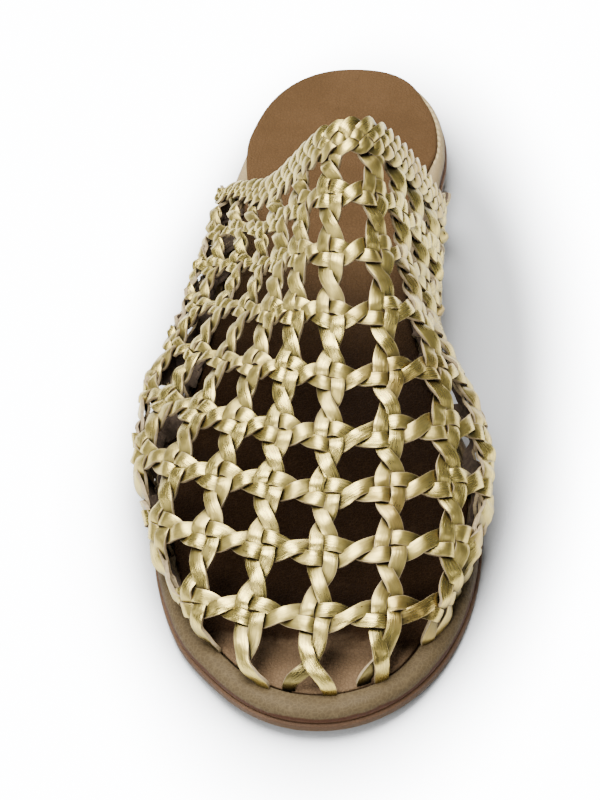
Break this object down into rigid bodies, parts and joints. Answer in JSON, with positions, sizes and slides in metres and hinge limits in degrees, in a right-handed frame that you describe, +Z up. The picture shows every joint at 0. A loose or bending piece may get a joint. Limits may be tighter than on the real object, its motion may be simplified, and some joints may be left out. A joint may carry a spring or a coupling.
{
  "type": "woven leather mule",
  "caption": "Flat backless mule for the right foot: open woven upper of gold leather strips with a plaited top line, brown footbed in a pale rim, thin leather sole and low heel lift.",
  "frame": {"origin": "on the floor, under the middle of the bounding box", "axes": "+Z up, -Y towards the toe, +X towards the inner side of a right foot"},
  "size_m": [0.104, 0.262, 0.0794],
  "materials": {
    "outsole_leather": "burnished brown edge",
    "rim_leather": "natural, matte",
    "heel_leather": "pale stacked leather, matte",
    "footbed_leather": "matte brown lining leather",
    "gold_leather": "pale metallic gold, worn satin",
    "collar_leather": "pale metallic gold, worn satin"
  },
  "bodies": {
    "root": {"outsole": "outsole_leather", "midsole": "rim_leather", "heel": "heel_leather", "insole": "footbed_leather", "upper": "gold_leather", "collar_braid": "collar_leather"}
  },
  "joints": []
}
